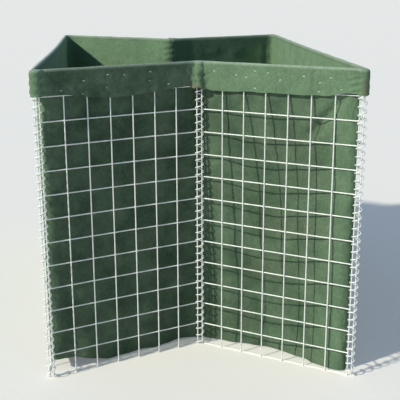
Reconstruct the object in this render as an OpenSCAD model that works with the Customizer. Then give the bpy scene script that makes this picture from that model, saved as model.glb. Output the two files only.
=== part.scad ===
// Folding gabion cell: welded mesh panels hung on coil hinges, with a cloth liner turned over the rim.
// Millimetres. Origin under the middle of the cell at ground level, Z up, the folded front towards -Y.

/* [Mesh] */
// Side of one mesh square, wire centre to wire centre
mesh_pitch = 76.2; // [60:0.1:100]
// Mesh squares from the ground to the rim
mesh_rows = 13; // [6:1:16]
// Mesh squares across each half panel of the front and of the back
half_squares = 7; // [4:1:10]
// Mesh squares across each side panel
side_squares = 20; // [10:1:24]
// Diameter of the mesh wire
wire_d = 4; // [3:0.25:5]
// Depth that two crossing wires sink into each other at a weld
weld_sink = 0.6; // [0.3:0.1:1]

/* [Coil hinges] */
// Diameter of the coil wire
coil_wire_d = 4; // [3:0.25:4.5]
// Clear bore of the coil
coil_bore = 22; // [21:0.5:28]
// Turns of the coil along one mesh square
coil_turns = 3; // [2:1:3]
// Play between a seated edge wire and the bore of the coil
coil_play = 0.3; // [0.2:0.1:0.6]
// How far the side panels sit outside the hinge line, so the panels lie flat when folded
side_set = 7; // [6:0.25:7.5]
// How far the half panels sit inside the hinge line
half_set = 0.5; // [0.25:0.25:1.5]

/* [Fold] */
// Angle of each half panel from the straight wall
fold_angle = 28; // [10:1:50]
// Lean of the side panels from square in plan
skew_angle = 4.8; // [0:0.2:8]

/* [Cloth] */
// Thickness of the cloth
cloth = 2.5; // [1.5:0.1:4]
// Gap between the cloth and the wires it covers
cloth_gap = 0.3; // [0.2:0.1:1]
// Height of the cuff that is turned down outside the rim
cuff_drop = 84; // [50:1:120]
// Distance from a corner hinge to the flat cloth of the panel
corner_ease = 45; // [40:1:80]
// Distance from a centre hinge to the flat cloth of the panel
centre_ease = 25; // [22:1:60]
// Height of the liner's lower edge above the ground
liner_lift = 16; // [5:1:60]
// Height of the front left liner's lower edge at the corner
front_left_lift = 31; // [5:1:60]
// Height of the front liners' lower edge at the centre hinge
front_centre_lift = 6; // [3:1:30]
// Rise of the arched lower edge of the front right liner
front_arch = 38; // [10:1:60]

/* [Hidden] */
wire_r = wire_d / 2;
mesh_h = mesh_rows * mesh_pitch + wire_d;
// Edge wires seat against the bore of the coil
seat_r = coil_bore / 2 - coil_play - wire_r;
half_edge = sqrt(seat_r * seat_r - half_set * half_set);
side_edge = sqrt(seat_r * seat_r - side_set * side_set);
half_len = half_squares * mesh_pitch + 2 * half_edge;
side_len = side_squares * mesh_pitch + 2 * side_edge;
// Rails of the half panels are welded inside the uprights, rails of the side panels outside
rail_step = wire_d - weld_sink;
half_post_y = half_set;
half_rail_y = half_set + rail_step;
side_post_y = -side_set;
side_rail_y = -side_set - rail_step;
rail_inset = 0.5;
// Cloth planes, measured inwards from the hinge line
half_liner_y = half_rail_y + wire_r + cloth_gap + cloth;
half_cuff_y = half_post_y - wire_r - cloth_gap - cloth;
side_liner_y = side_post_y + wire_r + cloth_gap + cloth;
side_cuff_y = side_rail_y - wire_r - cloth_gap - cloth;
web_z = mesh_h + cloth_gap;
rim_z = web_z + cloth;
hem_z = rim_z - cuff_drop;
// Coil: square wire section of equal area, eight chords to a turn
coil_pitch = mesh_pitch / coil_turns;
coil_half = 0.443 * coil_wire_d;
coil_chords = 8;
coil_r = (coil_bore / 2 + coil_half) / cos(180 / coil_chords);
coil_foot = coil_half + 3;
coil_steps = coil_chords * (mesh_rows * coil_turns - 1);
// Hinge points in plan
side_dir = 90 + skew_angle;
side_run = side_len * [cos(side_dir), sin(side_dir)];
middle = [side_run[0] / 2, side_run[1] / 2 - half_len * sin(fold_angle)];
front_centre = -middle;
front_left = front_centre - half_len * [cos(fold_angle), sin(fold_angle)];
front_right = front_centre + half_len * [cos(fold_angle), -sin(fold_angle)];
back_left = -front_right;
back_centre = -front_centre;
back_right = -front_left;
// Directions in which the coils must leave the rails a clear way between two turns
half_lean = asin(half_rail_y / coil_r);
side_lean = atan2(-side_rail_y, side_edge - wire_r + rail_inset);
left_way = (side_dir + side_lean + half_lean) / 2;
right_way = (side_dir - side_lean + 180 - half_lean) / 2;
centre_way = fold_angle - 90;
// Directions of the edge wires that carry the coils
side_seat = atan2(side_set, side_edge);
half_seat = atan2(half_set, half_edge);

// Panel frame: X along the panel from its first hinge, Y into the cell
module panel(hinge, dir) {
  translate([hinge[0], hinge[1], 0])
    rotate([0, 0, dir])
      children();
}

// One straight wire of octagonal section along Z, a flat towards each side
module wire(length) {
  rotate([0, 0, 22.5])
    cylinder(d = wire_d / cos(22.5), h = length, $fn = 8);
}

// Welded mesh of uprights and rails, the outer uprights threaded by the coils
module mesh(squares, edge, post_y, rail_y) {
  for (i = [0:squares])
    translate([edge + i * mesh_pitch, post_y, rail_inset])
      wire(mesh_h - 2 * rail_inset);
  for (k = [0:mesh_rows])
    translate([edge - wire_r + rail_inset, rail_y, wire_r + k * mesh_pitch])
      rotate([0, 90, 0])
        wire(squares * mesh_pitch + wire_d - 2 * rail_inset);
}

module half_mesh() {
  mesh(half_squares, half_edge, half_post_y, half_rail_y);
}

module side_mesh() {
  mesh(side_squares, side_edge, side_post_y, side_rail_y);
}

// Coil hinge: passes the direction "way" midway between two rails, and lies with the middle of a chord
// against the edge wire in the direction "seat"
module coil(way, seat) {
  first = seat + 180 / coil_chords;
  rise = coil_pitch / coil_chords;
  free = wire_r + coil_pitch / 2 + coil_pitch * (first - way) / 360;
  back = floor((free - coil_foot) / rise);
  start_a = first - back * 360 / coil_chords;
  start_z = free - back * rise;
  points = [
    for (i = [0:coil_steps])
      for (c = [[1, -1], [1, 1], [-1, 1], [-1, -1]])
        let (a = start_a + i * 360 / coil_chords, r = coil_r + c[0] * coil_half)
          [r * cos(a), r * sin(a), start_z + i * rise + c[1] * coil_half]
  ];
  sides = [
    for (i = [0:coil_steps - 1])
      for (j = [0:3])
        let (p = 4 * i + j, q = 4 * i + (j + 1) % 4)
          each [[p, q, p + 4], [q, q + 4, p + 4]]
  ];
  last = 4 * coil_steps;
  ends = [[0, 2, 1], [0, 3, 2], [last, last + 1, last + 2], [last, last + 2, last + 3]];
  polyhedron(points = points, faces = concat(sides, ends));
}

// Liner sheet: the lower edge is a line of points, the upper edge lies under the web of the cuff
module liner(lower, y_in) {
  first = lower[0];
  last = lower[len(lower) - 1];
  translate([0, y_in, 0])
    rotate([90, 0, 0])
      linear_extrude(cloth)
        polygon(concat(lower, [[last[0], web_z], [first[0], web_z]]));
}

// Cuff: web over the rim and a leaf turned down outside, in section
module cuff(start, end, y_out, y_in) {
  translate([start, 0, 0])
    rotate([90, 0, 90])
      linear_extrude(end - start)
        polygon([
          [y_out, hem_z],
          [y_out, web_z],
          [y_out + cloth, rim_z],
          [y_in - cloth, rim_z],
          [y_in, web_z],
          [y_out + cloth, web_z],
          [y_out + cloth, hem_z]
        ]);
}

module half_cuff(start_ease, end_ease) {
  cuff(start_ease, half_len - end_ease, half_cuff_y, half_liner_y);
}

module side_cuff() {
  cuff(corner_ease, side_len - corner_ease, side_cuff_y, side_liner_y);
}

module side_liner() {
  liner([[corner_ease, liner_lift], [side_len - corner_ease, liner_lift]], side_liner_y);
}

module front_left_mesh() {
  color([0.8, 0.82, 0.78])
    panel(front_left, fold_angle)
      half_mesh();
}

module front_right_mesh() {
  color([0.8, 0.82, 0.78])
    panel(front_centre, -fold_angle)
      half_mesh();
}

module right_side_mesh() {
  color([0.8, 0.82, 0.78])
    panel(front_right, side_dir)
      side_mesh();
}

module back_right_mesh() {
  color([0.8, 0.82, 0.78])
    panel(back_right, 180 + fold_angle)
      half_mesh();
}

module back_left_mesh() {
  color([0.8, 0.82, 0.78])
    panel(back_centre, 180 - fold_angle)
      half_mesh();
}

module left_side_mesh() {
  color([0.8, 0.82, 0.78])
    panel(back_left, 180 + side_dir)
      side_mesh();
}

module front_left_coil() {
  color([0.7, 0.72, 0.7])
    panel(front_left, 0)
      coil(left_way, side_dir + side_seat);
}

module front_centre_coil() {
  color([0.7, 0.72, 0.7])
    panel(front_centre, 0)
      coil(centre_way, 180 + fold_angle - half_seat);
}

module front_right_coil() {
  color([0.7, 0.72, 0.7])
    panel(front_right, 0)
      coil(right_way, side_dir - side_seat);
}

module back_right_coil() {
  color([0.7, 0.72, 0.7])
    panel(back_right, 180)
      coil(left_way, side_dir + side_seat);
}

module back_centre_coil() {
  color([0.7, 0.72, 0.7])
    panel(back_centre, 180)
      coil(centre_way, 180 + fold_angle - half_seat);
}

module back_left_coil() {
  color([0.7, 0.72, 0.7])
    panel(back_left, 180)
      coil(right_way, side_dir - side_seat);
}

module front_left_liner() {
  color([0.42, 0.52, 0.42])
    panel(front_left, fold_angle)
      liner(
        [[corner_ease, front_left_lift], [half_len - centre_ease, front_centre_lift]],
        half_liner_y
      );
}

module front_right_liner() {
  run = half_len - corner_ease - centre_ease;
  color([0.42, 0.52, 0.42])
    panel(front_centre, -fold_angle)
      liner(
        [
          for (i = [0:8])
            let (s = i / 8)
              [centre_ease + s * run, front_centre_lift + 4 * front_arch * s * (1 - s)]
        ],
        half_liner_y
      );
}

module right_side_liner() {
  color([0.42, 0.52, 0.42])
    panel(front_right, side_dir)
      side_liner();
}

module back_right_liner() {
  color([0.42, 0.52, 0.42])
    panel(back_right, 180 + fold_angle)
      liner(
        [[corner_ease, liner_lift], [half_len - centre_ease, liner_lift]],
        half_liner_y
      );
}

module back_left_liner() {
  color([0.42, 0.52, 0.42])
    panel(back_centre, 180 - fold_angle)
      liner(
        [[centre_ease, liner_lift], [half_len - corner_ease, liner_lift]],
        half_liner_y
      );
}

module left_side_liner() {
  color([0.42, 0.52, 0.42])
    panel(back_left, 180 + side_dir)
      side_liner();
}

module front_left_cuff() {
  color([0.45, 0.56, 0.45])
    panel(front_left, fold_angle)
      half_cuff(corner_ease, centre_ease);
}

module front_right_cuff() {
  color([0.45, 0.56, 0.45])
    panel(front_centre, -fold_angle)
      half_cuff(centre_ease, corner_ease);
}

module right_side_cuff() {
  color([0.45, 0.56, 0.45])
    panel(front_right, side_dir)
      side_cuff();
}

module back_right_cuff() {
  color([0.45, 0.56, 0.45])
    panel(back_right, 180 + fold_angle)
      half_cuff(corner_ease, centre_ease);
}

module back_left_cuff() {
  color([0.45, 0.56, 0.45])
    panel(back_centre, 180 - fold_angle)
      half_cuff(centre_ease, corner_ease);
}

module left_side_cuff() {
  color([0.45, 0.56, 0.45])
    panel(back_left, 180 + side_dir)
      side_cuff();
}

front_left_mesh();
front_right_mesh();
right_side_mesh();
back_right_mesh();
back_left_mesh();
left_side_mesh();
front_left_coil();
front_centre_coil();
front_right_coil();
back_right_coil();
back_centre_coil();
back_left_coil();
front_left_liner();
front_right_liner();
right_side_liner();
back_right_liner();
back_left_liner();
left_side_liner();
front_left_cuff();
front_right_cuff();
right_side_cuff();
back_right_cuff();
back_left_cuff();
left_side_cuff();
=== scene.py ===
import math
from collections import namedtuple

import bpy
import numpy as np
from mathutils import Matrix, Vector


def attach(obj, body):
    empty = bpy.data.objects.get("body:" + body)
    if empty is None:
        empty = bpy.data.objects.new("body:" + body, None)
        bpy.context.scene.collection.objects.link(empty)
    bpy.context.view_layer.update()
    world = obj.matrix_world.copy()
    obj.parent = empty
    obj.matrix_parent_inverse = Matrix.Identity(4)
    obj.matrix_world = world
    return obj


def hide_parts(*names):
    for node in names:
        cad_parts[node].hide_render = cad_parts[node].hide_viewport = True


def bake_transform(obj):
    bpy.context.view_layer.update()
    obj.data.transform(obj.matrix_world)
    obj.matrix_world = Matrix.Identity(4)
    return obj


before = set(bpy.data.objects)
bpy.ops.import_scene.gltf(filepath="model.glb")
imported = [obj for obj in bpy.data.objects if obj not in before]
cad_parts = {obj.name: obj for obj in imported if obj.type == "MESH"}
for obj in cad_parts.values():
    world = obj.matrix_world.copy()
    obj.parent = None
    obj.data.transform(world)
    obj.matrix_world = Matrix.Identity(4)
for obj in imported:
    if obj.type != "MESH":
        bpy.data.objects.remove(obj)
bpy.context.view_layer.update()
bpy.ops.object.select_all(action="DESELECT")


# The wire mesh panels: 4 mm galvanised wire, uprights and rails spot-welded where they cross.
# Two long sides, and a front and a back made of two half panels each. The wires are round, and
# each panel is a little bowed, as large light panels are.
square = 0.0762
rows = 13
half_squares, side_squares = 7, 20
wire_r = 0.002
# how far each wire's end stops short of the face of the last wire that it crosses
wire_tip = 0.0005
# how far the half panels are folded in, and the direction of the sides in plan
fold = math.radians(28)
side_turn = math.radians(94.8)
# the edge wires seat inside the hinge coils: the bore, the play in it, how far the uprights of the
# half panels lie inside the hinge line and those of the sides outside it, and from uprights to rails
coil_bore, play = 0.022, 0.0003
half_set, side_set = 0.0005, 0.007
rail_step = 0.0034
seat_r = coil_bore / 2 - play - wire_r
edge_half = math.sqrt(seat_r**2 - half_set**2)
edge_side = math.sqrt(seat_r**2 - side_set**2)
half_len = half_squares * square + 2 * edge_half
side_len = side_squares * square + 2 * edge_side


def tenth(length):
    """A length to the nearest tenth of a micrometre."""
    return round(length, 7)


# the six hinges in plan; the back is the front turned half round
half_x, half_y = half_len * math.cos(fold), half_len * math.sin(fold)
centre_x, corner_y = -side_len / 2 * math.cos(side_turn), -side_len / 2 * math.sin(side_turn)
hinge_at = {
    "front_left": (tenth(centre_x - half_x), tenth(corner_y)),
    "front_centre": (tenth(centre_x), tenth(corner_y + half_y)),
    "front_right": (tenth(centre_x + half_x), tenth(corner_y)),
}
for front, back in (("left", "right"), ("centre", "centre"), ("right", "left")):
    x, y = hinge_at["front_" + front]
    hinge_at["back_" + back] = (-x, -y)
# each panel from its first hinge: direction in plan, length, squares, edge wire, upright and rail planes
Panel = namedtuple("Panel", "hinge turn length squares edge post_y rail_y")
# edge wires and lengths are kept to the tenth too
half_edge, side_edge = tenth(edge_half), tenth(edge_side)
half_long = half_squares * square + 2 * half_edge
side_long = side_squares * square + 2 * side_edge
half_panel = (half_long, half_squares, half_edge, half_set, tenth(half_set + rail_step))
side_panel = (side_long, side_squares, side_edge, -side_set, tenth(-side_set - rail_step))
panels = {
    "front_left": Panel("front_left", fold, *half_panel),
    "front_right": Panel("front_centre", -fold, *half_panel),
    "right_side": Panel("front_right", side_turn, *side_panel),
    "back_right": Panel("back_right", math.pi + fold, *half_panel),
    "back_left": Panel("back_centre", math.pi - fold, *half_panel),
    "left_side": Panel("back_left", math.pi + side_turn, *side_panel),
}
# inward bow of the middle of each panel's rim, its share at the ground, the height from which it is
# full, the power that starts it gently, and the straight ends of the panels
bow = {
    "front_left": 0.003,
    "front_right": -0.002,
    "right_side": 0.006,
    "back_right": 0.002,
    "back_left": 0.003,
    "left_side": 0.008,
}
ground_bow = 0.35
full_bow_z = 0.99
gentle_start = 1.4
cuff_end = 0.05


def panel_matrix(name):
    x, y = hinge_at[panels[name].hinge]
    return Matrix.Translation((x, y, 0)) @ Matrix.Rotation(panels[name].turn, 4, "Z")


def panel_bow(name, u, z):
    """How far the panel is bowed inwards at a distance along it and a height."""
    s = np.clip((np.asarray(u) - cuff_end) / (panels[name].length - 2 * cuff_end), 0, 1)
    rise = ground_bow + (1 - ground_bow) * np.clip(np.asarray(z) / full_bow_z, 0, 1)
    return bow[name] * rise * np.sin(math.pi * s) ** gentle_start


def coordinates(obj):
    flat = np.zeros(len(obj.data.vertices) * 3)
    obj.data.vertices.foreach_get("co", flat)
    return flat.reshape(-1, 3)


def set_coordinates(obj, points):
    obj.data.vertices.foreach_set("co", np.ascontiguousarray(points).ravel())
    obj.data.update()


def apply_modifiers(obj):
    bpy.ops.object.select_all(action="DESELECT")
    obj.select_set(True)
    bpy.context.view_layer.objects.active = obj
    for m in list(obj.modifiers):
        bpy.ops.object.modifier_apply(modifier=m.name)


def repeat(obj, count, step):
    m = obj.modifiers.new("repeat", "ARRAY")
    m.count = count
    m.use_relative_offset = False
    m.use_constant_offset = True
    m.constant_offset_displace = step
    apply_modifiers(obj)


def straight_wire(name, length, pieces, place, turn):
    """A round wire along Z, extruded in short lengths so that it can follow the panel's bow."""
    bpy.ops.object.select_all(action="DESELECT")
    bpy.ops.mesh.primitive_circle_add(vertices=12, radius=wire_r, fill_type="NGON")
    obj = bpy.context.active_object
    obj.name = name
    bpy.ops.object.mode_set(mode="EDIT")
    for _ in range(pieces):
        bpy.ops.mesh.extrude_region_move(TRANSFORM_OT_translate={"value": (0, 0, length / pieces)})
    bpy.ops.mesh.select_all(action="SELECT")
    bpy.ops.mesh.normals_make_consistent(inside=False)
    bpy.ops.object.mode_set(mode="OBJECT")
    obj.data.transform(Matrix.Translation(place) @ turn)
    return obj

def noise(tree, scale, detail, roughness=0.5):
    """Noise on the piece's own coordinates."""
    where = tree.nodes.new("ShaderNodeTexCoord")
    node = tree.nodes.new("ShaderNodeTexNoise")
    node.inputs["Scale"].default_value = scale
    node.inputs["Detail"].default_value = detail
    node.inputs["Roughness"].default_value = roughness
    tree.links.new(where.outputs["Object"], node.inputs["Vector"])
    return node.outputs["Fac"]


def two_tones(tree, value, dark, light):
    """A colour between two tones, each given with the value that it stands at."""
    node = tree.nodes.new("ShaderNodeValToRGB")
    for stop, (position, colour) in zip(node.color_ramp.elements, (dark, light)):
        stop.position = position
        stop.color = (*colour, 1)
    tree.links.new(value, node.inputs["Fac"])
    return node.outputs["Color"]


def spread_out(tree, value, least, most, first=0.0, last=1.0):
    """A value from first to last, spread from least to most."""
    node = tree.nodes.new("ShaderNodeMapRange")
    node.inputs["From Min"].default_value = first
    node.inputs["From Max"].default_value = last
    node.inputs["To Min"].default_value = least
    node.inputs["To Max"].default_value = most
    tree.links.new(value, node.inputs["Value"])
    return node.outputs["Result"]


def bumps(tree, height, strength, distance):
    node = tree.nodes.new("ShaderNodeBump")
    node.inputs["Strength"].default_value = strength
    node.inputs["Distance"].default_value = distance
    tree.links.new(height, node.inputs["Height"])
    return node


zinc = bpy.data.materials.new("galvanised_wire")
zinc.use_nodes = True
tree = zinc.node_tree
shader = tree.nodes["Principled BSDF"]
shader.inputs["Metallic"].default_value = 0.1
spangle = noise(tree, 60, 4)
grain = noise(tree, 420, 3)
dull = two_tones(tree, spangle, (0.30, (0.78, 0.81, 0.76)), (0.62, (0.95, 0.98, 0.92)))
matt = spread_out(tree, grain, 0.38, 0.62)
pitted = bumps(tree, grain, 0.15, 0.0004)
tree.links.new(dull, shader.inputs["Base Color"])
tree.links.new(matt, shader.inputs["Roughness"])
tree.links.new(pitted.outputs["Normal"], shader.inputs["Normal"])

upright = Matrix.Identity(4)
level = Matrix.Rotation(math.pi / 2, 4, "Y")
mesh_height = rows * square + 2 * wire_r
weld_r = 0.0019
for name, panel in panels.items():
    foot = (panel.edge, panel.post_y, wire_tip)
    posts = straight_wire("posts", mesh_height - 2 * wire_tip, 2 * rows, foot, upright)
    repeat(posts, panel.squares + 1, (square, 0, 0))
    mesh_width = panel.squares * square + 2 * wire_r
    start = (panel.edge - wire_r + wire_tip, panel.rail_y, wire_r)
    rails = straight_wire("rails", mesh_width - 2 * wire_tip, 2 * panel.squares, start, level)
    repeat(rails, rows + 1, (0, 0, square))
    # weld nuggets squeezed out where two wires cross
    bpy.ops.object.select_all(action="DESELECT")
    bpy.ops.mesh.primitive_ico_sphere_add(subdivisions=1, radius=weld_r)
    welds = bpy.context.active_object
    crossing = Matrix.Translation((panel.edge, (panel.post_y + panel.rail_y) / 2, wire_r))
    welds.data.transform(crossing @ Matrix.Diagonal((1.15, 0.7, 1.15, 1)))
    repeat(welds, panel.squares + 1, (square, 0, 0))
    repeat(welds, rows + 1, (0, 0, square))
    bpy.ops.object.select_all(action="DESELECT")
    for piece in (posts, rails, welds):
        piece.select_set(True)
    bpy.context.view_layer.objects.active = posts
    bpy.ops.object.join()
    mesh_panel = bpy.context.active_object
    mesh_panel.name = name + "_wires"
    points = coordinates(mesh_panel)
    points[:, 1] += panel_bow(name, points[:, 0], points[:, 2])
    set_coordinates(mesh_panel, points)
    mesh_panel.data.transform(panel_matrix(name))
    mesh_panel.data.materials.append(zinc)
    bpy.ops.object.shade_smooth_by_angle(angle=math.radians(50))
    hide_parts(name + "_mesh")
    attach(mesh_panel, name)


# The coil hinges: spring-like coils of 4 mm wire, three turns to a mesh square, screwed down over the
# edge wires of two panels so that both turn inside the coil.
coil_pitch = square / 3
coil_turns = 3 * rows - 1
coil_r = coil_bore / 2 + wire_r + 0.00015
# the start of the winding is worked out on a coil of eight straight chords to a turn
chords = 8
chord_half = 0.443 * 2 * wire_r
chord_r = (coil_bore / 2 + chord_half) / math.cos(math.pi / chords)
coil_foot = chord_half + 0.003


def coil_start(way, seat):
    """Angle and height of a coil's lower end, so that its turns pass midway between the rails."""
    first = seat + 180 / chords
    rise = coil_pitch / chords
    free = wire_r + coil_pitch / 2 + coil_pitch * (first - way) / 360
    back = math.floor((free - coil_foot) / rise)
    return first - back * 360 / chords, free - back * rise


# where the rails' ends and the edge wires lie, seen from the hinge line, in degrees
half_lean = math.degrees(math.asin((half_set + rail_step) / chord_r))
side_lean = math.degrees(math.atan2(side_set + rail_step, edge_side - wire_r + wire_tip))
half_seat = math.degrees(math.atan2(half_set, edge_half))
side_seat = math.degrees(math.atan2(side_set, edge_side))
fold_way, side_way = math.degrees(fold), math.degrees(side_turn)
left_start = coil_start((side_way + side_lean + half_lean) / 2, side_way + side_seat)
right_start = coil_start((side_way - side_lean + 180 - half_lean) / 2, side_way - side_seat)
centre_start = coil_start(fold_way - 90, 180 + fold_way - half_seat)
coils = {
    "front_left": (left_start, 0, "left_side"),
    "front_centre": (centre_start, 0, "front_left"),
    "front_right": (right_start, 0, "right_side"),
    "back_right": (left_start, 180, "right_side"),
    "back_centre": (centre_start, 180, "back_right"),
    "back_left": (right_start, 180, "left_side"),
}
for name, ((angle, lift), half_turn, body) in coils.items():
    bpy.ops.object.select_all(action="DESELECT")
    bpy.ops.mesh.primitive_circle_add(
        vertices=10, radius=wire_r, location=(coil_r, 0, 0), rotation=(math.pi / 2, 0, 0)
    )
    bpy.ops.object.transform_apply(location=True, rotation=True, scale=True)
    coil = bpy.context.active_object
    coil.name = name + "_spring"
    wind = coil.modifiers.new("wind", "SCREW")
    wind.axis = "Z"
    wind.angle = 2 * math.pi
    wind.screw_offset = coil_pitch
    wind.iterations = coil_turns
    wind.steps = wind.render_steps = 18
    apply_modifiers(coil)
    bpy.ops.object.mode_set(mode="EDIT")
    bpy.ops.mesh.select_all(action="DESELECT")
    bpy.ops.mesh.select_mode(type="VERT")
    bpy.ops.mesh.select_non_manifold()
    bpy.ops.mesh.fill_holes(sides=12)
    bpy.ops.mesh.select_all(action="SELECT")
    bpy.ops.mesh.normals_make_consistent(inside=False)
    bpy.ops.object.mode_set(mode="OBJECT")
    x, y = hinge_at[name]
    coil.data.transform(
        Matrix.Translation((x, y, lift)) @ Matrix.Rotation(math.radians(angle + half_turn), 4, "Z")
    )
    coil.data.materials.append(zinc)
    bpy.ops.object.shade_smooth_by_angle(angle=math.radians(50))
    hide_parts(name + "_coil")
    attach(coil, body)


# The liner: one thick green felt sheet behind each mesh panel, hung from the rim. It is cut full, so
# it sags away from the wires towards the ground, most of all behind the right front half.
felt_room = 0.0025
felt_thick = 0.0022
rim_z = tenth(mesh_height + play + felt_room)
seam_z = 0.985
felt_off = wire_r + play + felt_room / 2
liner_y = {name: tenth(max(panel.post_y, panel.rail_y) + felt_off) for name, panel in panels.items()}


def ease(x, a, b):
    """0 up to a, 1 from b on, and a soft rise between them."""
    t = np.clip((np.asarray(x, float) - a) / (b - a), 0, 1)
    return t * t * (3 - 2 * t)


def hump(x, centre, width):
    """A smooth hump, 1 high at its centre."""
    return np.exp(-(((x - centre) / width) ** 2))


def through(stations, x):
    """A smooth curve through a few stations."""
    px, py = np.array(stations, float).T
    step = np.diff(py) / np.diff(px)
    slope = np.concatenate([step[:1], np.zeros(len(px) - 2), step[-1:]])
    for i in range(1, len(px) - 1):
        if step[i - 1] * step[i] > 0:
            slope[i] = 2 * step[i - 1] * step[i] / (step[i - 1] + step[i])
    x = np.clip(np.asarray(x, float), px[0], px[-1])
    i = np.clip(np.searchsorted(px, x, side="right") - 1, 0, len(px) - 2)
    h = px[i + 1] - px[i]
    t = (x - px[i]) / h
    return (
        py[i] * (1 + 2 * t) * (1 - t) ** 2
        + slope[i] * h * t * (1 - t) ** 2
        + py[i + 1] * t * t * (3 - 2 * t)
        - slope[i + 1] * h * t * t * (1 - t)
    )


def ripple(a, b, size, seed):
    """Soft irregular waves between about -1 and 1, of the given size in metres."""
    chance = np.random.default_rng(seed)
    total = np.zeros(np.broadcast(a, b).shape)
    for _ in range(9):
        way = chance.uniform(0, math.pi)
        wave = 2 * math.pi / (size * chance.uniform(0.65, 1.6))
        total = total + np.sin(wave * (math.cos(way) * a + math.sin(way) * b) + chance.uniform(0, 6.28))
    return total / 4


def low_down(z):
    """0 near the rim, 1 near the ground."""
    return ease(-np.asarray(z, float), -0.90, -0.10)


# where each sheet starts and ends, from the hinge lines: at the rim, and added towards the ground
sheet_ends = {
    "front_left": ((0.045, 0.010), (0.025, 0.005)),
    "front_right": ((0.025, 0.030), (0.045, 0.016)),
    "right_side": ((0.045, 0.008), (0.045, 0.010)),
    "back_right": ((0.045, 0.010), (0.025, 0.010)),
    "back_left": ((0.025, 0.010), (0.045, 0.010)),
    "left_side": ((0.045, 0.010), (0.045, 0.010)),
}
# how far the sheet stands in from its line at those ends: at the rim, and added towards the ground
end_stand = {
    "front_left": ((0.0, 0.021), (0.010, 0.036)),
    "front_right": ((0.010, 0.036), (0.0, 0.008)),
    "right_side": ((0.0, 0.004), (0.0, 0.006)),
    "back_right": ((0.0, 0.006), (0.010, 0.020)),
    "back_left": ((0.010, 0.020), (0.0, 0.006)),
    "left_side": ((0.0, 0.006), (0.0, 0.003)),
}
# sag of the sheet in millimetres by height, and its share along the panel
sag_height = {
    "front_left": ((0, 34), (0.13, 34), (0.4, 33), (0.6, 29), (0.77, 17), (0.85, 8), (0.9, 4), (0.985, 0)),
    "front_right": (
        (0, 66), (0.02, 68), (0.06, 77), (0.13, 82), (0.3, 73), (0.47, 61),
        (0.65, 47), (0.77, 31), (0.84, 16), (0.88, 6), (0.905, 1.2), (0.95, 0.3), (0.985, 0),
    ),
    "right_side": ((0, 14), (0.4, 12), (0.8, 6), (0.985, 0)),
    "back_right": ((0, 24), (0.4, 18), (0.8, 6), (0.985, 0)),
    "back_left": ((0, 24), (0.4, 18), (0.8, 6), (0.985, 0)),
    "left_side": ((0, 16), (0.4, 13), (0.8, 6), (0.985, 0)),
}
sag_along = {
    "front_left": ((0, 0), (0.12, 0.22), (0.3, 0.62), (0.6, 1), (0.85, 0.8), (1, 0)),
    "front_right": (
        (0, 0), (0.08, 0.13), (0.15, 0.46), (0.2, 0.69), (0.25, 0.87), (0.31, 0.97), (0.4, 1),
        (0.47, 0.98), (0.52, 0.91), (0.64, 0.72), (0.755, 0.48), (0.865, 0.19), (0.93, 0.045), (1, 0),
    ),
    "right_side": ((0, 0), (0.2, 0.7), (0.5, 1), (0.8, 0.7), (1, 0)),
    "back_right": ((0, 0), (0.25, 0.7), (0.55, 1), (0.8, 0.7), (1, 0)),
    "back_left": ((0, 0), (0.25, 0.7), (0.55, 1), (0.8, 0.7), (1, 0)),
    "left_side": ((0, 0), (0.2, 0.7), (0.5, 1), (0.8, 0.7), (1, 0)),
}
# height of the sheet's lower edge above the ground, along the panel
lower_edge = {
    "front_left": ((0, 0.045), (0.12, 0.036), (0.28, 0.014), (0.38, 0.007), (0.6, 0.005), (1, 0.005)),
    "front_right": ((0, 0.005), (1, 0.005)),
    "right_side": ((0, 0.006), (0.5, 0.012), (1, 0.008)),
    "back_right": ((0, 0.008), (0.5, 0.010), (1, 0.008)),
    "back_left": ((0, 0.008), (0.5, 0.012), (1, 0.008)),
    "left_side": ((0, 0.008), (0.8, 0.012), (0.92, 0.025), (1, 0.045)),
}


def lower_line(name, s):
    """The sheet's lower edge, cut a little uneven."""
    uneven = ripple(s * panels[name].length, 0 * s, 0.09, liner_seed[name] + 5)
    return through(lower_edge[name], s) + 0.002 * uneven


def sheet_u(name, s, z):
    """Distance along the panel at a share of the sheet's width."""
    (a, b), (c, d) = sheet_ends[name]
    first = a + b * low_down(z)
    last = panels[name].length - c - d * low_down(z)
    return first + (last - first) * s


def sheet_stand(name, s, z):
    """How far the sheet stands in from the panel's line."""
    (a, b), (c, d) = end_stand[name]
    reach = 0.11 / panels[name].length * (1 + 0.4 * low_down(z))
    near = (a + b * low_down(z)) * (1 - ease(s / reach, 0, 1))
    far = (c + d * low_down(z)) * (1 - ease((1 - s) / reach, 0, 1))
    sag = through(sag_height[name], z) * through(sag_along[name], s) / 1000
    return liner_y[name] + near + far + sag


def panel_plan(name, u, y):
    """Plan of a place on a panel, from the distance along it and the distance in from it."""
    x0, y0 = hinge_at[panels[name].hinge]
    c, d = math.cos(panels[name].turn), math.sin(panels[name].turn)
    return np.stack([x0 + u * c - y * d, y0 + u * d + y * c], -1)


def sheet_plan(name, s, z):
    u = sheet_u(name, s, z)
    return panel_plan(name, u, sheet_stand(name, s, z) + panel_bow(name, u, z))


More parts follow.
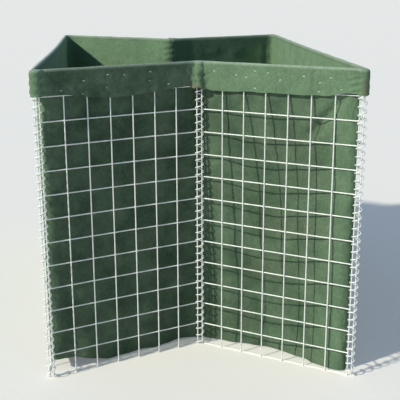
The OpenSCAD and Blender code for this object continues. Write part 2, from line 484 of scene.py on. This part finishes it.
def cloth_grid(name, across, down, shape, **marks):
    """A flat grid of cloth, laid into its hanging shape and given its thickness."""
    bpy.ops.object.select_all(action="DESELECT")
    bpy.ops.mesh.primitive_grid_add(x_subdivisions=across, y_subdivisions=down, size=1)
    obj = bpy.context.active_object
    obj.name = name
    flat = coordinates(obj)
    points = shape(flat[:, 0] + 0.5, flat[:, 1] + 0.5)
    set_coordinates(obj, points)
    for mark in ("dust", "rubbed", "mud"):
        amount = marks[mark](points) if mark in marks else np.zeros(len(points))
        obj.data.attributes.new(mark, "FLOAT", "POINT").data.foreach_set("value", amount)
    thick = obj.modifiers.new("thickness", "SOLIDIFY")
    thick.thickness = felt_thick
    thick.offset = 0
    apply_modifiers(obj)
    obj.data.materials.append(felt)
    bpy.ops.object.shade_smooth_by_angle(angle=math.radians(60))
    return obj


def marked(tree, mark, below):
    """A colour laid over another where the cloth's points carry a mark."""
    amount = tree.nodes.new("ShaderNodeAttribute")
    amount.attribute_name = mark
    node = tree.nodes.new("ShaderNodeMix")
    node.data_type = "RGBA"
    node.clamp_factor = False
    tree.links.new(amount.outputs["Fac"], node.inputs["Factor"])
    tree.links.new(below, node.inputs["A"])
    return node


def flecked(tree, value, amount, below):
    """A colour made darker and lighter by a noise."""
    node = tree.nodes.new("ShaderNodeMix")
    node.data_type = "RGBA"
    node.blend_type = "MULTIPLY"
    node.inputs["Factor"].default_value = 1.0
    tree.links.new(below, node.inputs["A"])
    tree.links.new(spread_out(tree, value, 1 - amount, 1 + amount, 0.3, 0.7), node.inputs["B"])
    return node.outputs["Result"]


felt = bpy.data.materials.new("green_felt")
felt.use_nodes = True
tree = felt.node_tree
shader = tree.nodes["Principled BSDF"]
shader.inputs["Roughness"].default_value = 0.95
shader.inputs["Specular IOR Level"].default_value = 0.12
blotch = noise(tree, 9, 5, 0.68)
fuzz = noise(tree, 120, 3, 0.6)
fibre = noise(tree, 330, 5, 0.7)
fresh = two_tones(tree, blotch, (0.36, (0.124, 0.202, 0.117)), (0.64, (0.164, 0.262, 0.152)))
# the darker tone is partly dust and partly painted shade
dusty = two_tones(tree, blotch, (0.36, (0.068, 0.114, 0.068)), (0.64, (0.120, 0.184, 0.112)))
# this mark paints the felt darker where it is above 0 (dust, and painted shade) and lighter than fresh where
# it is below 0 (painted light)
shade = marked(tree, "dust", fresh)
tree.links.new(dusty, shade.inputs["B"])
# paler where the felt is worn on the rim's crest, and painted light: a painted highlight on the crests and
# painted light on the sides' inner faces
paler = marked(tree, "rubbed", shade.outputs["Result"])
paler.inputs["B"].default_value = (0.50, 0.60, 0.48, 1)
muddy = marked(tree, "mud", paler.outputs["Result"])
muddy.inputs["B"].default_value = (0.20, 0.165, 0.115, 1)
colour = flecked(tree, fibre, 0.18, flecked(tree, fuzz, 0.14, muddy.outputs["Result"]))
lump = bumps(tree, fuzz, 0.45, 0.0016)
nap = bumps(tree, fibre, 0.5, 0.0012)
tree.links.new(lump.outputs["Normal"], nap.inputs["Normal"])
tree.links.new(colour, shader.inputs["Base Color"])
tree.links.new(nap.outputs["Normal"], shader.inputs["Normal"])

# how much lighter than fresh felt the upper part of the sides and the back is painted, a painted light (the
# back right is painted darker there, a painted shade); lower down they are darker towards the ground, and the
# front is darker from the rim down, partly dust and partly painted shade of the mesh
upper_painted_light = {"right_side": 0.95, "back_right": -0.3, "back_left": 0.6, "left_side": 1.0}
# how much paler the upper part of the sides' inner faces is painted: painted light
side_painted_light = {"right_side": 0.04, "left_side": 0.14}


def felt_dust(name, points):
    if name in upper_painted_light:
        return (1 + upper_painted_light[name]) * ease(-points[:, 2], -0.86, -0.40) - upper_painted_light[name]
    dust = 1.25 * ease(-points[:, 2], -0.95, -0.92)
    if name == "front_right":
        # painted lighter towards the right corner, where less painted shade is laid on
        x, y = hinge_at["front_centre"]
        along = np.hypot(points[:, 0] - x, points[:, 1] - y)
        dust = dust * 0.8 * (1 - 0.8 * ease(along, 0.36, 0.52))
    return dust


liner_seed = {
    "front_left": 11,
    "front_right": 25,
    "right_side": 31,
    "back_right": 47,
    "back_left": 59,
    "left_side": 61,
}
# the diagonal fold that runs down from the cuff near the right front corner: its middle and its slope
crease_u, crease_z = 0.39, 0.815
crease_way = math.radians(48.6)
for name, panel in panels.items():

    def hang(s, t):
        seed = liner_seed[name]
        low = lower_line(name, s)
        z = low + (seam_z - low) * t
        u = sheet_u(name, s, z)
        calm = ease(s, 0, 0.07) * ease(1 - s, 0, 0.07) * ease(seam_z - z, 0, 0.06)
        y = sheet_stand(name, s, z) + panel_bow(name, u, z)
        y = y + calm * 0.0030 * ripple(u * 1.6, z * 0.6, 0.16, seed)
        y = y + calm * 0.0010 * ripple(u * 1.2, z, 0.05, seed + 1)
        y = y + calm * 0.0009 * ripple(u * 0.35, z * 1.6, 0.045, seed + 2)
        if name == "front_right":
            along = (u - crease_u) * math.cos(crease_way) + (z - crease_z) * math.sin(crease_way)
            aside = (u - crease_u) * math.sin(crease_way) - (z - crease_z) * math.cos(crease_way)
            creased = ease(along, -0.07, 0.0) * ease(-along, -0.16, -0.08)
            y = y + creased * (0.020 * hump(aside, 0.014, 0.015) - 0.005 * hump(aside, 0.046, 0.016))
        y = np.maximum(y, liner_y[name] - 0.0005 + panel_bow(name, u, z))
        return np.column_stack([panel_plan(name, u, y), z])

    def dust(points):
        return felt_dust(name, points)

    # painted light on the upper part of the sides' inner faces
    def painted_light_above(points):
        return side_painted_light.get(name, 0.0) * ease(points[:, 2], 0.40, 0.86)

    def stains(points):
        patch = ripple(points[:, 0] * 1.1 + points[:, 1], points[:, 2], 0.13, liner_seed[name] + 9)
        return 0.09 * np.clip(patch, 0, 1) * ease(-points[:, 2], -0.9, -0.8)

    across = 48 if panel.squares == half_squares else 112
    sheet = cloth_grid(name + "_felt", across, 96, hang, dust=dust, rubbed=painted_light_above, mud=stains)
    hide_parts(name + "_liner")
    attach(sheet, name)


# The liner's corners: the same felt runs on behind each hinge from one panel to the next, pushed into
# ridges by the coil's turns near the rim. At the middle of the back two sheets lap over each other.
corners = {
    "front_left": ("left_side", "front_left"),
    "front_centre": ("front_left", "front_right"),
    "front_right": ("front_right", "right_side"),
    "back_right": ("right_side", "back_right"),
    "back_centre": ("back_right", "back_left"),
    "back_left": ("back_left", "left_side"),
}


def corner_plan(hinge, s, z):
    """Plan of the cloth inside a hinge, leaving one sheet and joining the next."""
    before, after = corners[hinge]
    one = np.ones_like(z)
    p0, p3 = sheet_plan(before, one, z), sheet_plan(after, 0 * one, z)
    t0 = p0 - sheet_plan(before, 0.995 * one, z)
    t3 = sheet_plan(after, 0.005 * one, z) - p3
    reach = 0.56 * np.linalg.norm(p3 - p0, axis=-1)
    if hinge == "front_left":
        # the cloth cuts across this corner at the rim
        reach = reach * (1 - 0.6 * ease(z, 0.80, 0.95))
    p1 = p0 + t0 * (reach / np.linalg.norm(t0, axis=-1))[:, None]
    p2 = p3 - t3 * (reach / np.linalg.norm(t3, axis=-1))[:, None]
    s = s[:, None]
    return p0 * (1 - s) ** 3 + 3 * p1 * s * (1 - s) ** 2 + 3 * p2 * s * s * (1 - s) + p3 * s**3


def corner_edge(hinge, s):
    """The lower edge of the cloth inside a hinge, from one sheet's to the next one's."""
    before, after = corners[hinge]
    a, b = lower_line(before, 1.0), lower_line(after, 0.0)
    return a + (b - a) * s


def run_length(plan):
    return float(np.linalg.norm(np.diff(plan, axis=0), axis=1).sum())


mid_height = 0.5


def corner_width(hinge):
    """Width of the strip of cloth behind a hinge, along its curve at mid height."""
    s = np.linspace(0, 1, 40)
    return run_length(corner_plan(hinge, s, np.full(40, mid_height)))


# height at which a strip's two ends are taken, between which its marks change from one panel's sheet to the
# next's
share_z = 0.9


def corner_ends(hinge):
    return corner_plan(hinge, np.array([0.0, 1.0]), np.array([share_z, share_z]))


def corner_dust(hinge):
    """The dust, painted shade and painted light of the sheets on both sides, and a soft change between them.
    """
    before, after = corners[hinge]
    start, end = corner_ends(hinge)

    def dust(points):
        share = ease((points[:, :2] - start) @ (end - start) / np.dot(end - start, end - start), 0, 1)
        return felt_dust(before, points) * (1 - share) + felt_dust(after, points) * share

    return dust


corner_seed = {
    "front_left": 3,
    "front_centre": 5,
    "front_right": 7,
    "back_right": 13,
    "back_centre": 17,
    "back_left": 19,
}


def inside_corner(hinge, first=0.0, last=1.0, shift=0.0):
    """The strip behind a hinge, or a share of it, shifted away from the coil where it laps over."""
    ridge_height = 0.0018 if hinge in ("front_centre", "back_centre") else 0.0005
    slack = 0.0026 if hinge == "back_centre" else 0.0012
    seed = corner_seed[hinge]

    def hang(s, t):
        s = first + (last - first) * s
        low = corner_edge(hinge, s)
        z = low + (seam_z - low) * t
        at = corner_plan(hinge, s, z)
        away = at - np.array(hinge_at[hinge])
        angle = np.arctan2(away[:, 1], away[:, 0])
        out = away / np.linalg.norm(away, axis=-1)[:, None]
        calm = ease(s, 0, 0.25) * ease(1 - s, 0, 0.25)
        ridge = np.sin(2 * math.pi * z / coil_pitch - angle) * ease(z, 0.82, 0.95)
        crease = ripple(s * 0.08, z, 0.06, seed) + 0.6 * ripple(s * 0.1, z, 0.028, seed + 40)
        push = calm * (ridge_height * ridge + 0.0014 * crease + slack)
        push = push * ease(seam_z - z, -0.004, 0.02) + shift * ease(s, 0, 0.14)
        return np.column_stack([at + out * push[:, None], z])

    return hang


for hinge, (before, after) in corners.items():
    if hinge == "back_centre":
        parts = (("_fold_a", 0.0, 0.33, 0.0042, 0.33, before), ("_fold_b", 0.27, 1.0, 0.0, 0.73, after))
        for tail, first, last, shift, share, body in parts:
            strip = inside_corner(hinge, first, last, shift)
            sheet = cloth_grid(hinge + tail, 12, 190, strip, dust=corner_dust(hinge))
            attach(sheet, body)
            share * corner_width(hinge)
        continue
    sheet = cloth_grid(hinge + "_fold", 18, 190, inside_corner(hinge), dust=corner_dust(hinge))
    start, end = corner_ends(hinge)
    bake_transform(sheet)
    corner_width(hinge)


# The cuff: the liner's upper edge turned over the rim and down outside the first row of squares. It is
# soft, so it ripples between the small wire rings that pin it to the mesh.
cuff_y = {name: tenth(min(panel.post_y, panel.rail_y) - felt_off) for name, panel in panels.items()}
# height of the cuff's hem along each panel
hem_height = {
    "front_left": (
        (0, 0.9195), (0.12, 0.917), (0.25, 0.907), (0.42, 0.900), (0.7, 0.906), (0.9, 0.916), (1, 0.919),
    ),
    "front_right": (
        (0, 0.904), (0.1, 0.905), (0.3, 0.908), (0.5, 0.909),
        (0.75, 0.909), (0.86, 0.911), (0.94, 0.918), (1, 0.923),
    ),
    "right_side": ((0, 0.921), (0.1, 0.914), (0.5, 0.909), (1, 0.911)),
    "back_right": ((0, 0.911), (0.5, 0.906), (1, 0.910)),
    "back_left": ((0, 0.910), (0.5, 0.907), (1, 0.911)),
    "left_side": ((0, 0.911), (0.5, 0.908), (0.9, 0.911), (1, 0.919)),
}
# where the rings pin the cuff: distance along the panel and height
ring_places = {
    "front_right": (
        (0.056, 0.968), (0.135, 0.959), (0.170, 0.954), (0.200, 0.975), (0.245, 0.971), (0.286, 0.951),
        (0.364, 0.967), (0.416, 0.949), (0.450, 0.966), (0.484, 0.932), (0.201, 0.921), (0.414, 0.922),
    ),
    "front_left": (
        (0.151, 0.957), (0.230, 0.971), (0.286, 0.967), (0.375, 0.972), (0.438, 0.930),
        (0.077, 0.932), (0.146, 0.918), (0.225, 0.931), (0.371, 0.944),
    ),
}
for name, panel in panels.items():
    if name not in ring_places:
        chance = np.random.default_rng(liner_seed[name] + 200)
        count = 10 if panel.squares == half_squares else 26
        ring_places[name] = []
        for i in range(count):
            u = panel.length * (0.1 + 0.8 * (i + 0.5) / count) + chance.uniform(-0.012, 0.012)
            z = chance.choice([0.964, 0.955, 0.93]) + chance.uniform(-0.007, 0.007)
            ring_places[name].append((u, z))
# share of the cuff's depth that goes over the rim; the power that rounds the fold there, and how much
# lower it is along the left side, where the fold is blunter
turn_share = 0.24
blunt, blunter = 0.42, 0.22
# how far the cuff stands off the wires, how deep a ring pulls it in and how wide the dimple is
cuff_stand = 0.0022
dimple, dimple_r = 0.0032, 0.0075
# the left front cuff is painted darker all over: painted shade
shaded_cuff = {"front_left": 1.15}


def rim_wear_and_highlight(points, amount=0.5):
    """The crest of the fold is painted paler: partly wear, partly a painted highlight."""
    return amount * ease(points[:, 2], 0.9900, 0.9962)


def sheet_share(name, u):
    """Share of the liner sheet's upper edge that lies before a distance along the panel."""
    first, last = sheet_ends[name][0][0], panels[name].length - sheet_ends[name][1][0]
    return (u - first) / (last - first)


def hem_line(name, s):
    """The cuff's hem, a little uneven."""
    u = cuff_end + (panels[name].length - 2 * cuff_end) * s
    return through(hem_height[name], s) + 0.0013 * ripple(u, 0 * u, 0.06, liner_seed[name] + 80)


def turn_over(t):
    """Share of the way over the rim."""
    return np.clip(t / turn_share, 0, 1)


def hang_down(t):
    """Share of the way down the outside."""
    return np.clip((t - turn_share) / (1 - turn_share), 0, 1)


def cuff_section(t, inside, outside, rim, hem, crest=blunt):
    """From inside the rim over the top and down to the hem: plan position and height."""
    over, down = turn_over(t), hang_down(t)
    share = (1 - np.cos(math.pi * over)) / 2
    plan = inside + (outside - inside) * share[:, None]
    arch = seam_z + (rim - seam_z) * np.sin(math.pi * over) ** crest
    z = np.where(t < turn_share, arch, seam_z - (seam_z - hem) * down)
    return plan, z, down


def pleats(away, z):
    """Level pleats beside the right front corner, where the cuff is drawn tight round the hinge."""
    reach = ease(away, -0.008, 0.006) * (1 - ease(away, 0.015, 0.07)) * ease(0.99 - z, 0.004, 0.014)
    return 0.0017 * reach * np.sin(2 * math.pi * (seam_z - z - 0.25 * away) / 0.019)


def cuff_out(name, u, z):
    """How far the hanging cuff stands out of its plane: ripples, and dimples at the rings."""
    seed = liner_seed[name]
    free = ease(u, cuff_end, cuff_end + 0.04) * ease(panels[name].length - u, cuff_end, cuff_end + 0.04)
    drop = ease(-z, -seam_z, -0.93)
    slack = 0.8 if name == "front_left" else 1.3
    soft = 0.0021 * ripple(u * 1.3, z * 0.4, 0.10, seed + 70) + 0.0008 * ripple(u, z * 0.8, 0.035, seed + 71)
    out = drop * (cuff_stand + free * slack * soft)
    for ring_u, ring_z in ring_places[name]:
        out = out - dimple * np.exp(-((u - ring_u) ** 2 + (z - ring_z) ** 2) / dimple_r**2)
    return np.maximum(out, -0.0004)


for name, panel in panels.items():

    def drape(s, t):
        t = 1 - t
        seam = np.full_like(s, seam_z)
        u = cuff_end + (panel.length - 2 * cuff_end) * s
        bend = panel_bow(name, u, seam)
        inside = np.stack([u, sheet_stand(name, sheet_share(name, u), seam) + bend], -1)
        outside = np.stack([u, cuff_y[name] + bend], -1)
        uneven = ripple(u, 0 * u, 0.12, liner_seed[name] + 81) * ease(s, 0, 0.1) * ease(1 - s, 0, 0.1)
        crest = blunt
        if name == "left_side":
            crest = blunt - blunter * ease(s, 0, 0.06) * ease(1 - s, 0, 0.06)
        plan, z, down = cuff_section(t, inside, outside, rim_z + 0.0005 * uneven, hem_line(name, s), crest)
        hanging = down > 0
        plan[:, 1] -= cuff_out(name, u, z) * hanging
        if name == "left_side":
            # the fold is loose here and rolls outwards
            roll = 0.0015 * ease(s, 0, 0.09) * ease(1 - s, 0, 0.07) * (1 - np.cos(math.pi * turn_over(t))) / 2
            plan[:, 1] -= roll * (1 - ease(down, 0, 0.45))
        if name == "front_right":
            # pleats at the corner, and one short upright crease
            plan[:, 1] -= pleats(panel.length - u, z) * hanging
            plan[:, 1] += 0.0034 * hump(u, 0.395, 0.0045) * ease(z, 0.925, 0.945) * hanging
        return np.column_stack([panel_plan(name, plan[:, 0], plan[:, 1]), z])

    # painted shade on the left front cuff
    def cuff_shade(points):
        return np.full(len(points), shaded_cuff.get(name, 0.0))

    # the crest along the left side lies in shade and is painted paler twice as strongly: a painted highlight
    def worn_and_highlit(points):
        return rim_wear_and_highlight(points, 1.0 if name == "left_side" else 0.5)

    across = 96 if panel.squares == half_squares else 220
    sheet = cloth_grid(name + "_turnover", across, 34, drape, dust=cuff_shade, rubbed=worn_and_highlit)
    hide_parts(name + "_cuff")
    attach(sheet, name)


# The cuff's corners: the turned-over felt bunches round the outside of each hinge, ribbed by the turns of
# the coil underneath. At the middle of the back two ends meet on the rim and part below it.
# radius of the cuff round each hinge: at the rim, and at the hem
wrap_r = {
    "front_left": (0.0164, 0.0168),
    "front_centre": (0.0176, 0.0275),
    "front_right": (0.0164, 0.0166),
    "back_right": (0.0168, 0.0200),
    "back_centre": (0.0168, 0.0220),
    "back_left": (0.0166, 0.0185),
}


def along_run(points, s):
    """Positions at equal shares of a run of points."""
    far = np.concatenate([[0], np.cumsum(np.linalg.norm(np.diff(points, axis=0), axis=1))])
    far /= far[-1]
    return np.stack([np.interp(s, far, points[:, 0]), np.interp(s, far, points[:, 1])], -1)


def inside_run(hinge, s):
    """Plan of the liner's upper edge past a hinge, from one cuff to the next."""
    before, after = corners[hinge]
    top = np.full(60, seam_z)
    first = np.linspace(sheet_share(before, panels[before].length - cuff_end), 1, 60)
    last = np.linspace(0, sheet_share(after, cuff_end), 60)
    passing = corner_plan(hinge, np.linspace(0, 1, 60), top)
    run = np.concatenate([sheet_plan(before, first, top), passing, sheet_plan(after, last, top)])
    return along_run(run, s)


def outside_run(hinge, s, radius):
    """Plan of the cuff round the outside of a hinge."""
    before, after = corners[hinge]
    a = panels[before].turn + math.pi
    b = panels[after].turn
    while b < a + 0.5:
        b += 2 * math.pi
    y0, y1 = -cuff_y[before], -cuff_y[after]
    way = np.linspace(a + math.atan2(y0, cuff_end), b - math.atan2(y1, cuff_end), 600)
    ra = np.where(way - a < math.pi / 2, y0 / np.sin(np.clip(way - a, 0.02, math.pi / 2)), 0)
    rb = np.where(b - way < math.pi / 2, y1 / np.sin(np.clip(b - way, 0.02, math.pi / 2)), 0)
    r = (radius**9 + ra**9 + rb**9) ** (1 / 9)
    r_start = (ra[0] - r[0]) * (1 - ease(way - way[0], 0, 0.25))
    r_end = (rb[-1] - r[-1]) * (1 - ease(way[-1] - way, 0, 0.25))
    r = r + r_start + r_end
    run = np.array(hinge_at[hinge]) + np.stack([r * np.cos(way), r * np.sin(way)], -1)
    return along_run(run, s)


# height of the ribs that the coil's turns press into the cuff, of the creases, and how loose it is
ribs = {
    "front_left": (0.0014, 0.0007, 0.0005),
    "front_centre": (0.0012, 0.0027, 0.0020),
    "front_right": (0.0003, 0.0004, 0.0004),
    "back_right": (0.0005, 0.0007, 0.0012),
    "back_centre": (0.0003, 0.0003, 0.0016),
    "back_left": (0.0003, 0.0007, 0.0012),
}


def corner_cuff_shade(points, hinge):
    """The painted shade of the left front cuff runs on into its two corners."""
    away = points[:, :2] - np.array(hinge_at[hinge])
    along = away @ np.array([math.cos(fold), math.sin(fold)])
    side = {"front_left": 1, "front_centre": -1}.get(hinge, 0)
    return shaded_cuff["front_left"] * ease(side * along, 0.012, 0.048)


def corner_mud(points, hinge):
    """Mud rubbed into the cuff's hem at the two front corners that stick out."""
    away = points[:, :2] - np.array(hinge_at[hinge])
    along = away @ np.array([math.cos(fold), -math.sin(fold)])
    if hinge == "front_centre":
        return 0.55 * ease(-points[:, 2], -0.935, -0.915) * (1 - ease(np.abs(along), 0.016, 0.026))
    if hinge == "front_right":
        return 0.38 * ease(along, -0.010, 0.010) * ease(-points[:, 2], -0.985, -0.95)
    return np.zeros(len(points))


def corner_cuff(hinge, half="both"):
    """The cuff round a hinge, or one of the two ends that meet there."""
    before, after = corners[hinge]
    seed = corner_seed[hinge]
    high, low = wrap_r[hinge]
    rib, fold_up, loose = ribs[hinge]

    def drape(s, t):
        t = 1 - t
        over, under = ease(t, 0, 0.12), ease(t, 0.14, 0.34)
        a = 0.37 + 0.13 * over + 0.10 * under if half == "after" else 0.0
        b = 0.44 + 0.07 * over - 0.11 * under if half == "before" else 1.0
        s = a + (b - a) * s
        share = hang_down(t)[:, None]
        outside = outside_run(hinge, s, high) * (1 - share) + outside_run(hinge, s, low) * share
        calm = ease(s, 0, 0.22) * ease(1 - s, 0, 0.22)
        hem_start, hem_end = hem_line(before, 1.0), hem_line(after, 0.0)
        hem = hem_start + (hem_end - hem_start) * s
        hem = hem + calm * 0.003 * ripple(s * 0.1, 0 * s, 0.04, seed + 60)
        top = rim_z + calm * 0.0006 * ripple(s * 0.1, 0 * s, 0.03, seed + 61)
        plan, z, down = cuff_section(t, inside_run(hinge, s), outside, top, hem)
        ahead, behind = np.clip(s + 0.004, 0, 1), np.clip(s - 0.004, 0, 1)
        run = outside_run(hinge, ahead, high) - outside_run(hinge, behind, high)
        out = np.stack([run[:, 1], -run[:, 0]], -1) / np.linalg.norm(run, axis=-1)[:, None]
        away = plan - np.array(hinge_at[hinge])
        angle = np.arctan2(away[:, 1], away[:, 0])
        crease = ripple(s * 0.11, z, 0.05, seed + 62) + 0.7 * ripple(s * 0.11, z, 0.022, seed + 63)
        push = calm * (rib * np.sin(2 * math.pi * z / coil_pitch - angle) + fold_up * crease + loose)
        if hinge == "front_centre":
            # the bunch swells on its left, with a deep groove where it meets the right front
            push = push + 0.0035 * ease(down, 0, 0.3) * hump(s, 0.42, 0.10)
            push = push - 0.0060 * ease(down, 0.02, 0.5) * hump(s, 0.67, 0.075)
        if hinge == "front_right":
            push = push + pleats(away @ np.array([-math.cos(fold), math.sin(fold)]), z)
        drop = ease(-z, -seam_z, -0.93) * (down > 0)
        stand = push * ease(down, 0, 0.15) + cuff_stand * drop * (1 - calm)
        if half == "before":
            # this end lies over the other one on the rim
            lap = 0.0030 * ease(s, 0, 0.3)
            stand = stand - lap * np.cos(math.pi * turn_over(t))
            z = z + lap * np.sin(math.pi * turn_over(t))
        return np.column_stack([plan + out * stand[:, None], z])

    return drape


# radius and height for a corner's two ends
share_r, cuff_share_z = 0.017, 0.95
for hinge, (before, after) in corners.items():
    round_width = run_length(outside_run(hinge, np.linspace(0, 1, 60), wrap_r[hinge][1]))
    if hinge == "back_centre":
        for tail, half, body in (("_bunch_a", "before", before), ("_bunch_b", "after", after)):
            sheet = cloth_grid(hinge + tail, 22, 34, corner_cuff(hinge, half), rubbed=rim_wear_and_highlight)
            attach(sheet, body)
        continue

    # painted shade of the left front cuff, running into its corners
    def cuff_shade(points):
        return corner_cuff_shade(points, hinge)

    def mud(points):
        return corner_mud(points, hinge)

    sheet = cloth_grid(hinge + "_bunch", 36, 34, corner_cuff(hinge), dust=cuff_shade, rubbed=rim_wear_and_highlight, mud=mud)
    start, end = outside_run(hinge, np.array([0.0, 1.0]), share_r)
    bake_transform(sheet)


# The cuff's rings: short pieces of thin bright wire closed round the mesh through the felt; only a small
# bow of each shows on the outside.
ring_r, ring_wire_r = 0.0037, 0.0009
ring_sunk = 0.0022
for name in panels:
    chance = np.random.default_rng(liner_seed[name] + 300)
    loops = []
    for u, z in ring_places[name]:
        bpy.ops.object.select_all(action="DESELECT")
        bpy.ops.mesh.primitive_torus_add(
            major_segments=14, minor_segments=6, major_radius=ring_r, minor_radius=ring_wire_r
        )
        loop = bpy.context.active_object
        bend = float(panel_bow(name, u, z))
        stand = cuff_y[name] + bend - float(cuff_out(name, np.array([u]), np.array([z]))[0])
        place = panel_matrix(name) @ Matrix.Translation((u, stand + ring_sunk, z))
        tilt = Matrix.Rotation(chance.uniform(-0.35, 0.35), 4, "Y")
        loop.data.transform(place @ tilt @ Matrix.Diagonal((1.25, 1, 1, 1)))
        loops.append(loop)
    bpy.ops.object.select_all(action="DESELECT")
    for loop in loops:
        loop.select_set(True)
    bpy.context.view_layer.objects.active = loops[0]
    bpy.ops.object.join()
    rings = bpy.context.active_object
    rings.name = name + "_rings"
    rings.data.materials.append(zinc)
    bpy.ops.object.shade_smooth()
    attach(rings, name)


# The floor: a wide sheet of matt pale paper that the cell stands on and throws its shadow on. It
# glows a little where it is seen, so that it stays as pale as the backdrop, and gives the cell no
# more light for that.
bpy.ops.object.select_all(action="DESELECT")
bpy.ops.mesh.primitive_plane_add(size=240)
floor = bpy.context.active_object
floor.name = "floor"


def seen_straight(tree):
    """1 for what is seen straight or in a reflection, 0 for light that the surface gives to the cell."""
    ray = tree.nodes.new("ShaderNodeLightPath")
    seen = ray.outputs["Is Camera Ray"]
    for other in ("Is Glossy Ray", "Is Transmission Ray"):
        either = tree.nodes.new("ShaderNodeMath")
        either.operation = "MAXIMUM"
        tree.links.new(seen, either.inputs[0])
        tree.links.new(ray.outputs[other], either.inputs[1])
        seen = either.outputs["Value"]
    return seen


paper = bpy.data.materials.new("pale_paper")
paper.use_nodes = True
tree = paper.node_tree
shader = tree.nodes["Principled BSDF"]
shader.inputs["Base Color"].default_value = (0.95, 0.92, 0.85, 1)
shader.inputs["Roughness"].default_value = 0.9
shader.inputs["Specular IOR Level"].default_value = 0.1
shader.inputs["Emission Color"].default_value = (1, 0.97, 0.90, 1)
glow = tree.nodes.new("ShaderNodeMath")
glow.operation = "MULTIPLY"
glow.inputs[1].default_value = 0.12
tree.links.new(seen_straight(tree), glow.inputs[0])
tree.links.new(glow.outputs["Value"], shader.inputs["Emission Strength"])
floor.data.materials.append(paper)


# The camera stands at the place and angle that the mesh crossings of the photograph give. A low
# sun-like lamp shines from the left front, a dim blue sky fills the shadows, and the backdrop that
# shows behind the cell is plain pale grey.
picture_px, lens_px = 400, 817.658
camera_at = (0.04639, -3.19037, 1.25832)
yaw, pitch, roll = 0.00714, 0.26538, -0.00312
forward = np.array([math.sin(yaw) * math.cos(pitch), math.cos(yaw) * math.cos(pitch), -math.sin(pitch)])
right0 = np.array([math.cos(yaw), -math.sin(yaw), 0])
up0 = np.cross(right0, forward)
right = math.cos(roll) * right0 + math.sin(roll) * up0
up = -math.sin(roll) * right0 + math.cos(roll) * up0
camera_data = bpy.data.cameras.new("camera")
camera_data.sensor_width = 36
camera_data.lens = lens_px / picture_px * camera_data.sensor_width
camera = bpy.data.objects.new("camera", camera_data)
camera.matrix_world = Matrix(
    (
        (right[0], up[0], -forward[0], camera_at[0]),
        (right[1], up[1], -forward[1], camera_at[1]),
        (right[2], up[2], -forward[2], camera_at[2]),
        (0, 0, 0, 1),
    )
)
bpy.context.scene.collection.objects.link(camera)
bpy.context.scene.camera = camera

sun_data = bpy.data.lights.new("key", "SUN")
sun_data.energy = 3.1
sun_data.angle = math.radians(2.8)
sun_data.color = (1.0, 0.96, 0.85)
sun = bpy.data.objects.new("key", sun_data)
travel = math.radians(32.5)
height_angle = math.radians(34)
direction = Vector(
    (
        math.cos(travel) * math.cos(height_angle),
        math.sin(travel) * math.cos(height_angle),
        -math.sin(height_angle),
    )
)
sun.rotation_mode = "QUATERNION"
sun.rotation_quaternion = direction.to_track_quat("-Z", "Y")
bpy.context.scene.collection.objects.link(sun)

world = bpy.data.worlds.new("studio")
world.use_nodes = True
bpy.context.scene.world = world
tree = world.node_tree
sky = tree.nodes["Background"]
sky.inputs["Color"].default_value = (0.51, 0.80, 1.30, 1)
sky.inputs["Strength"].default_value = 0.26
backdrop = tree.nodes.new("ShaderNodeBackground")
backdrop.inputs["Color"].default_value = (0.82, 0.82, 0.82, 1)
either = tree.nodes.new("ShaderNodeMixShader")
tree.links.new(seen_straight(tree), either.inputs["Fac"])
tree.links.new(sky.outputs["Background"], either.inputs[1])
tree.links.new(backdrop.outputs["Background"], either.inputs[2])
tree.links.new(either.outputs["Shader"], tree.nodes["World Output"].inputs["Surface"])
bpy.context.scene.view_settings.view_transform = "Standard"
